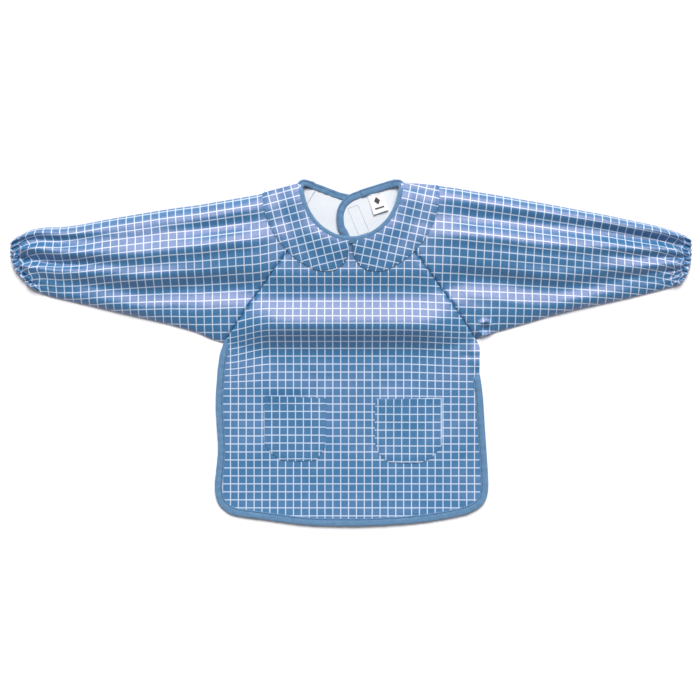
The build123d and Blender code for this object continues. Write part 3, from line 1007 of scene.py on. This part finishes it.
def collar_outline(side):
    rim = evenly(spline([(x, y, 0) for x, y in COLLAR_RIM], 6), 2.0)
    scalloped = []
    for i, p in enumerate(rim):
        out = Vector((p.x, p.y - NECK_Y, 0)).normalized()
        q = p + out * (SCALLOP * abs(math.sin(i * 2.0 / SCALLOP_LENGTH * math.pi)) - 0.2)
        scalloped.append((side * q.x, min(q.y, top_edge[side](q.x) - 0.5)))
    inner = [ellipse_point(a, 1.0) for a in range(1, 89, 3)]
    return scalloped + [(side * x, y) for x, y in inner]


def collar_height(side):
    rim = [(side * x, y) for x, y in COLLAR_RIM]

    def height(x, y):
        edge = polyline_distance(rim, x, y)
        roll = 1.0 - smoothstep(0, 5, edge)
        bow = 0.8 * smoothstep(0, 16, edge)
        wave = 0.5 * noise.noise(Vector((x / 26, y / 26, 7.0)))
        from_neck = math.hypot(x / (NECK[0] + 4), (y - NECK_Y) / (NECK[1] + 4)) - 1
        stand = COLLAR_STAND * (1 - smoothstep(0.0, 0.42, from_neck))
        below_top = top_edge[side](abs(x)) - y
        level = 3 + 16.5 * math.sin(min(1.0, max(0.0, below_top / 26)) * math.pi / 2) ** 0.8
        cloth = max(top_height(x, y, seams=False), level)
        return cloth + 2.2 + bow + wave + stand - 1.0 * roll

    return height


collars = {}
for hand, side in SIDES.items():
    slant, spot = COLLAR_SLANT[hand]
    outline = collar_outline(side)
    check = slanted_check(slant, spot)
    collar = cut_cloth(f"collar_{hand}_cloth", outline, COLLAR_CELL, collar_height(side), check)
    dress(collar, check_cloth, check_cloth)
    thicken(collar, COLLAR_PLIES)
    collars[hand] = (collar, plan_area(outline))
    print(collar.name, len(collar.data.polygons), "faces")

# %% [markdown]
# ## Patch pockets
# A patch pocket is a piece of the same cloth, sewn on by its sides and bottom. It could
# be a raised patch of the front, but a real pocket is a second layer that gapes, so it is
# a sheet of its own that lies just above the front and stands open at the mouth.

# %% Pockets
POCKET = {
    "left": [(-108, -54.5), (-70, -56), (-30.5, -57.5), (-31.5, -90), (-32.5, -120), (-44, -135.5),
             (-66, -137), (-88, -135.5), (-100, -127), (-109, -114), (-109.5, -80)],
    "right": [(31, -58), (70, -58.5), (114, -56.5), (114.5, -90), (113.5, -118), (101, -133),
              (88, -138.5), (66, -139), (46, -137.5), (35, -127), (30, -113), (30, -85)],
}
POCKET_SPOT = {"left": (-99.5, -64.0), "right": (33.9, -67.7)}  # where two printed lines cross
MOUTH_PEAK = {"left": 0.32, "right": 0.6}  # where the mouth gapes most, as a share of its width
MOUTH_GAPE = 3.4
POCKET_CELL = 2.2
POCKET_CLOTH = 0.8


def pocket_height(hand):
    outline = POCKET[hand]
    sewn = outline[2:] + [outline[0]]
    low_x, high_x = min(x for x, y in outline), max(x for x, y in outline)

    def height(x, y):
        share = (x - low_x) / (high_x - low_x)
        lean = share ** (math.log(0.5) / math.log(MOUTH_PEAK[hand])) if share > 0 else 0
        gape = MOUTH_GAPE * max(0.0, math.sin(math.pi * min(1, lean))) * math.exp(-max(0, -56 - y) / 16)
        edge = polyline_distance(sewn, x, y)
        return top_height(x, y) + 1.0 + gape + 0.5 * smoothstep(0, 6, edge)

    return height


pockets = {}
for hand in SIDES:
    outline = POCKET[hand]
    check = slanted_check(0.0, POCKET_SPOT[hand])
    pocket = cut_cloth(f"pocket_{hand}_cloth", outline, POCKET_CELL, pocket_height(hand), check)
    dress(pocket, check_cloth, lining)
    thicken(pocket, POCKET_CLOTH)
    pockets[hand] = (pocket, plan_area(outline))
    print(pocket.name, len(pocket.data.polygons), "faces")

# %% [markdown]
# ## Binding tape
# Bias tape is folded over a raw edge and stitched through. A bevelled curve could follow
# the edge, but it can't pucker, so the tape is a grid closed into a flat tube along a
# path. Its profile has a groove where the stitching pulls it in, and small puckers
# between the stitches.

# %% Binding tape
PUCKER_LENGTH = 4.6


def bias_tape(name, path, width=9.2, height=3.0, groove=0.55, pucker=0.25, seed=1.0):
    """Tape along a path of points in mm; groove is where its stitching runs, from -1 to 1."""
    line = evenly(path, 2.0)
    count, around = len(line) - 1, 28
    sides = []
    for i in range(count + 1):
        step = line[min(count, i + 1)] - line[max(0, i - 1)]
        flat = Vector((step.x, step.y, 0))
        sides.append(Vector((-flat.y, flat.x, 0)).normalized())
    for turn in range(3):  # three passes of averaging take out the path's small turns
        ahead = sides[1:] + sides[-1:]
        behind = sides[:1] + sides[:-1]
        sides = [(a + b + c).normalized() for a, b, c in zip(behind, sides, ahead)]

    def across(v):
        """Where a cell is across the tape, from -1 to 1, with squared-off ends."""
        c = math.cos(2 * math.pi * v)
        return math.copysign(abs(c) ** 0.55, c)

    def profile(i, v):
        s = math.sin(2 * math.pi * v)
        closing = min(1.0, 0.25 + min(i, count - i) * 0.5)
        n = across(v)
        z = math.copysign(abs(s) ** 0.7, s) * height / 2 * closing
        dip = math.exp(-(((n - groove) / 0.13) ** 2)) * 0.75
        wave = pucker * math.cos(i * 2.0 / PUCKER_LENGTH * math.pi) * (1 - abs(n - groove) * 0.5)
        wave += pucker * 1.6 * noise.noise(Vector((i / 4.0, n, seed)))
        if s > 0:
            z += wave - dip * (1 + 0.5 * math.cos(i * 2.0))
        edge = 1 + 0.05 * noise.noise(Vector((i / 5.0, 2.0, seed)))
        return n * width / 2 * edge, z

    def place(u, v):
        i = round(u * count)
        n, z = profile(i, v)
        return line[i] + sides[i] * n + Vector((0, 0, z))

    def strip(u, v):
        return (u * count * 0.2, across(v) - groove if 0 < v < 0.5 else 4 + across(v))

    tape = grid_piece(name, count, around)
    bend(tape, place, strip)
    dress(tape, binding_cloth)
    smooth(tape)
    return tape


print("one pucker every", PUCKER_LENGTH, "mm")

# %% [markdown]
# ## Where the bindings run
# One tape goes round the front of the neckline, one down the side, round the hem and up
# again, and one round each flap. Their paths come from the same plan as the cloth they
# bind, a little above it or round its edge.

# %% Paths of the bindings
def neck_path():
    back = [(47, 209.8, 2.4), (53, 211.6, 3.6), (60, 212.5, 6.0), (64.8, 207, 8.8)]
    front_half = []
    for degrees in range(8, 91, 4):
        x, y = ellipse_point(degrees)
        front_half.append((x, y, top_height(x, y) + 0.9))
    right = back + front_half
    left = [(-x, y, z) for x, y, z in right[:4]]
    for degrees in range(8, 91, 4):
        x, y = ellipse_point(degrees)
        left.append((-x, y, top_height(-x, y) + 0.9))
    return spline(left + right[::-1][1:], 3)


HEM_SHOWS = {-1: 0, 1: -28}  # above this y the side binding passes behind the folded front


def hem_path():
    path = []
    for side in (-1, 1):
        half = inset([(-x, y) for x, y in HEM[side]], 4.6)
        half = [(side * -x, y) for x, y in half]
        path += half if side < 0 else half[::-1][1:]
    raised_path = []
    for x, y in path:
        shows = y < HEM_SHOWS[1 if x > 0 else -1]
        raised_path.append((x, y, top_height(x, y) + 0.2 if shows else 1.5))
    return spline(raised_path, 5)


TAPE_START = {"right": [(57, 213.4), (49, 211.3)], "left": [(-57, 211.4), (-49, 209.8)]}


def flap_path(hand, lift, first=0, last=99):
    height = flap_height(hand)
    edge = (TAPE_START[hand] + FLAP_EDGE[hand])[first:last]
    points = [(x, y, height(x, y) + lift) for x, y in edge]
    return spline(points, 5)


print("hem path:", len(hem_path()), "points")

# %% [markdown]
# ## Bindings
# Tapes differ in width and in how tightly they were sewn. The flap that lies on top
# carries its tape from below the collar in a short second piece, which joins
# the front's neck binding.

# %% Bindings
neck_tape = bias_tape("neck_binding_tape", neck_path(), height=4.4, groove=-0.45, seed=2.0)
hem_tape = bias_tape("hem_binding_tape", hem_path(), width=9.6, height=2.6, groove=0.62, seed=5.0)
right_edge = flap_path("right", 0.3, 3)
left_edge = flap_path("left", 0.2)
join_edge = flap_path("right", 1.1, 0, 5)
flap_tapes = {
    "right": bias_tape("back_binding_right_tape", right_edge, height=2.6, groove=-0.55, seed=8.0),
    "left": bias_tape("back_binding_left_tape", left_edge, 8.6, 2.2, groove=0.3, pucker=0.7, seed=3.0),
}
join_tape = bias_tape("back_binding_join_tape", join_edge, 9.6, 3.2, groove=-0.55, seed=9.0)
print("hem tape faces:", len(hem_tape.data.polygons))

# %% [markdown]
# ## Hook-and-loop pads
# The flaps close with two pads of tape, one on each flap, face to face. From above
# only their stitched outline shows. Each is a thin sheet on four corners, which lies
# between the flaps at its own height.

# %% Closing pads
PAD_SPOT = [(-3.75, 180.0), (8.75, 184.4), (22.5, 152.0), (10.0, 147.6)]


def four_corners(corners, height):
    """A function that places a unit square on four corners, clockwise from the top left."""
    (ax, ay), (bx, by), (cx, cy), (dx, dy) = corners

    def place(u, v):
        top_x, top_y = ax + (bx - ax) * u, ay + (by - ay) * u
        low_x, low_y = dx + (cx - dx) * u, dy + (cy - dy) * u
        x, y = low_x + (top_x - low_x) * v, low_y + (top_y - low_y) * v
        return (x, y, height(x, y, v))

    return place


def make_pad(name, top):
    """A pad of tape whose surface has the small bumps of its hooks or loops."""
    bumps = four_corners(PAD_SPOT, lambda x, y, v: top + 0.12 * math.sin(x * 3) * math.sin(y * 3))
    pad = grid_piece(name, 12, 30)
    bend(pad, bumps, lambda u, v: (u * 1.4, v * 3.4))
    dress(pad, hook_tape, hook_tape)
    thicken(pad, 0.8)
    return pad


PAD_LEVEL = {"loop": 2.75, "hook": 4.05}
loop_pad = make_pad("loop_pad_tape", PAD_LEVEL["loop"])
hook_pad = make_pad("hook_pad_tape", PAD_LEVEL["hook"])
print("pads:", loop_pad.name, hook_pad.name)

# %% [markdown]
# ## Neck label
# A woven tab is sewn to the flap by its top edge, and its lower end curls up. Its motif is
# plain: a small diamond over a bar. That could be painted on by the material, but
# woven ink stands a little proud, so each shape is a thin sheet that follows the tab.

# %% Neck label
LABEL_SPOT = [(20.2, 197.5), (38.9, 201.0), (47.4, 179.0), (28.6, 172.6)]
LABEL_LEVEL = 6.1
LABEL_CURL = 1.7


def label_height(x, y, v):
    return LABEL_LEVEL + (LABEL_CURL * (1 - v) ** 2 + 0.25 * math.sin(x * 0.5))


label = grid_piece("neck_label_cloth", 16, 20)
bend(label, four_corners(LABEL_SPOT, label_height), lambda u, v: (u * 2, v * 2.4))
dress(label, label_tape, label_tape)
thicken(label, 0.4)


def label_mark(name, corners):
    """A small printed shape on the label; corners are in the label's own 0 to 1 square."""
    onto = four_corners(LABEL_SPOT, lambda x, y, v: label_height(x, y, v) + 0.08)
    mark = grid_piece(name, 4, 4)
    flat = four_corners(corners, lambda x, y, v: 0)

    def place(u, v):
        a, b, c = flat(u, v)
        return onto(a, b)

    bend(mark, place, lambda u, v: (u, v), weld=False)
    dress(mark, label_ink)
    thicken(mark, 0.1, 1.0)
    return mark


marks = [
    label_mark("label_mark_a", [(0.30, 0.62), (0.5, 0.82), (0.70, 0.62), (0.5, 0.42)]),
    label_mark("label_mark_b", [(0.2, 0.28), (0.8, 0.28), (0.8, 0.20), (0.2, 0.20)]),
]
print(label.name, "with", len(marks), "marks")

# %% [markdown]
# ## A row of stitches
# A sewn row shows as short threads with a gap where each dips into the cloth. Hundreds
# of single stitches could be copied along the seam, but one long thin tube that dips
# at every fourth ring looks the same and is a single piece.

# %% Thread
STITCH_LENGTH = 3.0


def stitch_row(name, path, material, thickness=0.5):
    """A running stitch along a path of points in mm, lying on the path."""
    line = evenly(path, STITCH_LENGTH / 4)
    count = len(line) - 1

    def place(u, v):
        i = round(u * count)
        step = line[min(count, i + 1)] - line[max(0, i - 1)]
        out = Vector((-step.y, step.x, 0)).normalized()
        phase = i % 4
        dip = (-0.7, 0.12, 0.22, 0.12)[phase]
        size = thickness * (0.25, 1.0, 1.0, 1.0)[phase]
        angle = 2 * math.pi * v
        ends = 0.0 if i in (0, count) else 1.0
        round_it = out * math.cos(angle) + Vector((0, 0, math.sin(angle)))
        return line[i] + round_it * size / 2 * ends + Vector((0, 0, dip))

    thread = grid_piece(name, count, 6)
    bend(thread, place, lambda u, v: (u * 10, v))
    dress(thread, material)
    smooth(thread)
    return thread


def raised(points, height, lift=0.0):
    fine = evenly([Vector((x, y, 0)) for x, y in points], 2.5)
    return [Vector((p.x, p.y, height(p.x, p.y) + lift)) for p in fine]


def toward(points, middle, amount):
    """Points moved towards a middle point by an amount in mm."""
    moved = []
    for x, y in points:
        away = Vector((middle[0] - x, middle[1] - y))
        step = away.normalized() * amount
        moved.append((x + step.x, y + step.y))
    return moved


print("stitch length:", STITCH_LENGTH, "mm")

# %% [markdown]
# ## Where it is stitched
# Rows run just inside the edge of the pockets and collars, along the pockets' hems, round
# the hook pad and along the label's top. Each takes the height of the piece it is sewn to.

# %% Stitch rows
EDGE_STITCH = 2.6  # in from the edge of a pocket or a collar
MOUTH_HEM = 9  # depth of a pocket's hem
stitches = {}
for hand, side in SIDES.items():
    outline = POCKET[hand]
    middle = (sum(x for x, y in outline) / len(outline), sum(y for x, y in outline) / len(outline))
    sewn = toward(outline[2:] + [outline[0]], middle, EDGE_STITCH)
    stitches[f"pocket_{hand}_stitches"] = (raised(sewn, pocket_height(hand)), blue_thread)
    mouth = [(x, y - MOUTH_HEM) for x, y in toward(outline[:3], (middle[0], outline[1][1]), 1.5)]
    stitches[f"pocket_{hand}_hem_stitches"] = (raised(mouth, pocket_height(hand)), blue_thread)
    rim = [(side * x, y) for x, y in COLLAR_RIM[1:]]
    sewn = toward(rim, (side * 55, NECK_Y), EDGE_STITCH)
    stitches[f"collar_{hand}_stitches"] = (raised(sewn, collar_height(side)), blue_thread)
box = toward(PAD_SPOT, (9.4, 166.0), -0.8)
stitches["hook_pad_stitches"] = (raised(box + box[:1], flap_height("right"), 0.1), grey_thread)
top_seam = toward(LABEL_SPOT[:2], (29.0, 186.0), 1.2)
stitches["label_stitches"] = ([Vector((x, y, 6.25)) for x, y in top_seam], white_thread)
rows = {name: stitch_row(name, path, thread) for name, (path, thread) in stitches.items()}
print(len(rows), "rows of stitches")

# %% [markdown]
# ## Floor and camera
# The smock lies on a plain white floor and is seen straight from above. A long lens far
# away would flatten it more, but at this height the sleeves still show their round sides.
# The lens is worked out from how wide a strip of the table it has to take in.

# %% Floor and camera
FLOOR_WHITE = (0.95, 0.95, 0.95, 1)
SENSOR = 36  # millimetres
SEEN_WIDTH, SEEN_FROM = 0.875, 1.588  # metres across, and metres away from the camera
clear_selection()
bpy.ops.mesh.primitive_plane_add(size=14, location=(0, 0, -0.0002))
floor = bpy.context.active_object
floor.name = "floor"
floor_material, floor_tree, floor_shader = new_material("studio_white")
floor_shader.inputs["Base Color"].default_value = FLOOR_WHITE
floor_shader.inputs["Roughness"].default_value = 0.9
floor.data.materials.append(floor_material)

bpy.ops.object.camera_add(location=(-0.0012, 0.0031, 1.6), rotation=(0, 0, 0))
camera = bpy.context.active_object
camera.data.sensor_width = SENSOR
camera.data.lens = SENSOR * SEEN_FROM / SEEN_WIDTH
bpy.context.scene.camera = camera
print("lens:", round(camera.data.lens, 1), "mm")

# %% [markdown]
# ## Light
# Soft window light comes from beyond the neckline. Area lamps would darken the floor
# towards its corners, so the key is a sun with a wide angle, which lights everything alike
# and still draws soft lilac bands on the folds. A weak violet sun fills in from the other
# side, and a grey world lifts the shadows.

# %% Lights
def add_sun(name, location, strength, angle, colour, shines_along):
    clear_selection()
    bpy.ops.object.light_add(type="SUN", location=location)
    sun = bpy.context.active_object
    sun.name = name
    sun.data.energy = strength
    sun.data.angle = math.radians(angle)
    sun.data.color = colour
    sun.rotation_euler = Vector(shines_along).to_track_quat("-Z", "Y").to_euler()
    return sun


key = add_sun("key", (0, 1.5, 1.6), 3.8, 34, (0.98, 0.97, 1.0), (-0.08, -0.86, -1.0))
low_fill = add_sun("low_fill", (0, -1.5, 1.2), 0.12, 60, (0.86, 0.72, 1.0), (0.1, 1.0, -0.75))
world = bpy.data.worlds.new("studio")
bpy.context.scene.world = world
world.use_nodes = True
world.node_tree.nodes["Background"].inputs["Color"].default_value = (1, 1, 1, 1)
world.node_tree.nodes["Background"].inputs["Strength"].default_value = 0.25
bpy.context.scene.view_settings.view_transform = "Standard"
print("suns:", [(sun.name, round(sun.data.energy, 2)) for sun in (key, low_fill)])

# %% [markdown]
# ## Joining the cloth to the moving bodies
# In the frame, stiff bodies turn on hinges. Cloth that lies on one body rides it. Cloth that
# crosses a hinge, the sleeves, the collars with their stitches, and the flaps with their tapes,
# only has its place baked into its mesh, and is given to no body.


def fold_between(piece):
    """Bake a piece's place into its mesh; it is not blended between bodies."""
    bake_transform(piece)


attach(front, "smock")
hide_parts("front_panel")
for piece, solid in ((neck_tape, "neck_binding_front"), (hem_tape, "hem_binding")):
    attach(piece, "smock")
    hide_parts(solid)
for hand, side in SIDES.items():
    arm, fold = f"arm_{hand}", f"sleeve_{hand}_fold"
    fold_between(sleeves[hand])
    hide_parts(f"sleeve_{hand}_shoulder", f"sleeve_{hand}_arm")
    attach(elastics[hand], arm)
    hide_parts(f"cuff_elastic_{hand}")
    for piece in (collars[hand][0], rows[f"collar_{hand}_stitches"]):
        fold_between(piece)
    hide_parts(f"collar_{hand}_top", f"collar_{hand}_under", f"collar_{hand}_stand")
    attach(pockets[hand][0], "smock")
    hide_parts(f"pocket_{hand}")
    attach(rows[f"pocket_{hand}_stitches"], "smock")
    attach(rows[f"pocket_{hand}_hem_stitches"], "smock")
    sewn_to_flap = [flaps[hand][0], flap_tapes[hand]] + ([join_tape] if hand == "right" else [])
    for piece in sewn_to_flap:
        fold_between(piece)
    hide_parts(f"back_flap_{hand}")
    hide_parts(f"back_binding_{hand}")
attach(loop_pad, "flap_left")
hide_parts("loop_pad")
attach(hook_pad, "flap_right")
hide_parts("hook_pad")
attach(rows["hook_pad_stitches"], "flap_right")
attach(label, "label")
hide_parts("neck_label")
for piece in (*marks, rows["label_stitches"]):
    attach(piece, "label")

# %% [markdown]
# ## Listing the finishes
# The record lists a few finishes by name, so that the smock can be dyed another colour in
# another scene. Here the pieces are only listed under these names, and each list is counted.

# %% Finish of each piece
small_cloths = [cloth for cloth, area in (*collars.values(), *pockets.values())]
FINISHES = {
    "coated_check": [front, *sleeves.values(), *small_cloths],
    "bias_binding": [neck_tape, hem_tape, join_tape, *flap_tapes.values()],
    "elastic": list(elastics.values()),
    "hook_and_loop": [loop_pad, hook_pad],
    "label_tape": [label],
}
for finish, pieces in FINISHES.items():
    for piece in pieces:
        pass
print({finish: len(pieces) for finish, pieces in FINISHES.items()})

# %% [markdown]
# ## Sizes of the cloth
# Real cloth keeps its area however it is folded. The front's plan area is worked out and not
# kept; the area of each sleeve's tube and the plan area of each flap are printed, in square metres.

# %% Cloth sizes
plan_area(front_line)
for hand, side in SIDES.items():
    tube = area_of(sleeves[hand]) / 2
    print(sleeves[hand].name, "cloth area:", round(tube, 4), "square metres")
    print(flaps[hand][0].name, round(flaps[hand][1], 4))
